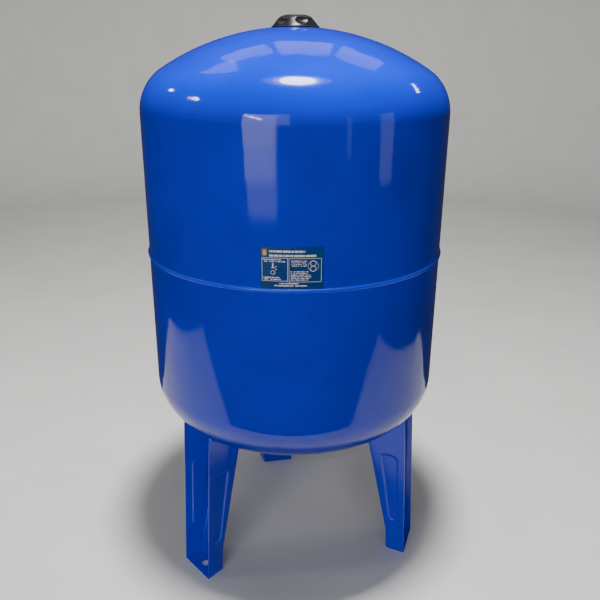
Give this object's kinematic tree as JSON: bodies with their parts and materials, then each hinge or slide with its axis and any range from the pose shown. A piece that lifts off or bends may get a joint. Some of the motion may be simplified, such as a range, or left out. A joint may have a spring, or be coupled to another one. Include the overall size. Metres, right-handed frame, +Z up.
{
  "type": "expansion vessel",
  "caption": "Upright floor-standing expansion vessel: domed steel tank with a girth weld on channel legs, membrane inside, bolted bottom flange and a screw cap over the air valve.",
  "frame": {"origin": "on the tank's axis, at floor level under the feet", "axes": "+Z up along the tank's axis, -Y towards the front where the data label is"},
  "size_m": [0.455, 0.455, 0.8547],
  "materials": {
    "blue_paint": "glossy powder coat with light orange peel",
    "black_plastic": "glossy moulded",
    "zinc_plate": "bright zinc plated",
    "brass": "machined",
    "epdm": "matt moulded",
    "label_film": "printed film, satin"
  },
  "bodies": {
    "root": {"bladder": "epdm", "boss_weld": "blue_paint", "counter_ring": "zinc_plate", "data_label": "label_film", "flange_bolt_1": "zinc_plate", "flange_bolt_2": "zinc_plate", "flange_bolt_3": "zinc_plate", "flange_bolt_4": "zinc_plate", "flange_bolt_5": "zinc_plate", "flange_bolt_6": "zinc_plate", "flange_plate": "zinc_plate", "girth_weld": "blue_paint", "inlet_nipple": "zinc_plate", "leg_front_left": "blue_paint", "leg_rear": "blue_paint", "leg_right": "blue_paint", "leg_weld_front_left": "blue_paint", "leg_weld_rear": "blue_paint", "leg_weld_right": "blue_paint", "lower_shell": "blue_paint", "nipple_weld": "zinc_plate", "nut_1": "zinc_plate", "nut_2": "zinc_plate", "nut_3": "zinc_plate", "nut_4": "zinc_plate", "nut_5": "zinc_plate", "nut_6": "zinc_plate", "upper_shell": "blue_paint", "valve_boss": "blue_paint", "valve_core": "brass", "valve_gasket": "epdm", "valve_spring": "zinc_plate", "valve_stem": "brass", "washer_1": "zinc_plate", "washer_2": "zinc_plate", "washer_3": "zinc_plate", "washer_4": "zinc_plate", "washer_5": "zinc_plate", "washer_6": "zinc_plate"},
    "cap_seal": {"cover_cap_seal": "epdm"},
    "cap": {"cover_cap": "black_plastic"},
    "valve_pin": {"valve_pin": "zinc_plate", "valve_pin_seal": "epdm"}
  },
  "joints": [
    {"name": "cap_lift", "type": "slide", "parent": "root", "child": "cap_seal", "axis": [0, 0, 1], "range_m": [0, 0.005]},
    {"name": "cap_turn", "type": "hinge", "parent": "cap_seal", "child": "cap", "pos_m": [0, 0, 0.85], "axis": [0, 0, 1], "range_deg": [0, 900]},
    {"name": "valve_press", "type": "slide", "parent": "root", "child": "valve_pin", "axis": [0, 0, -1], "range_m": [0, 0.0015], "stiffness_N_per_m": 2000, "springref_m": -0.001, "deforming": ["valve_spring"]}
  ],
  "couplings": [
    {"joint": "cap_lift", "follows": "cap_turn", "m_per_rad": 0.0003183}
  ]
}
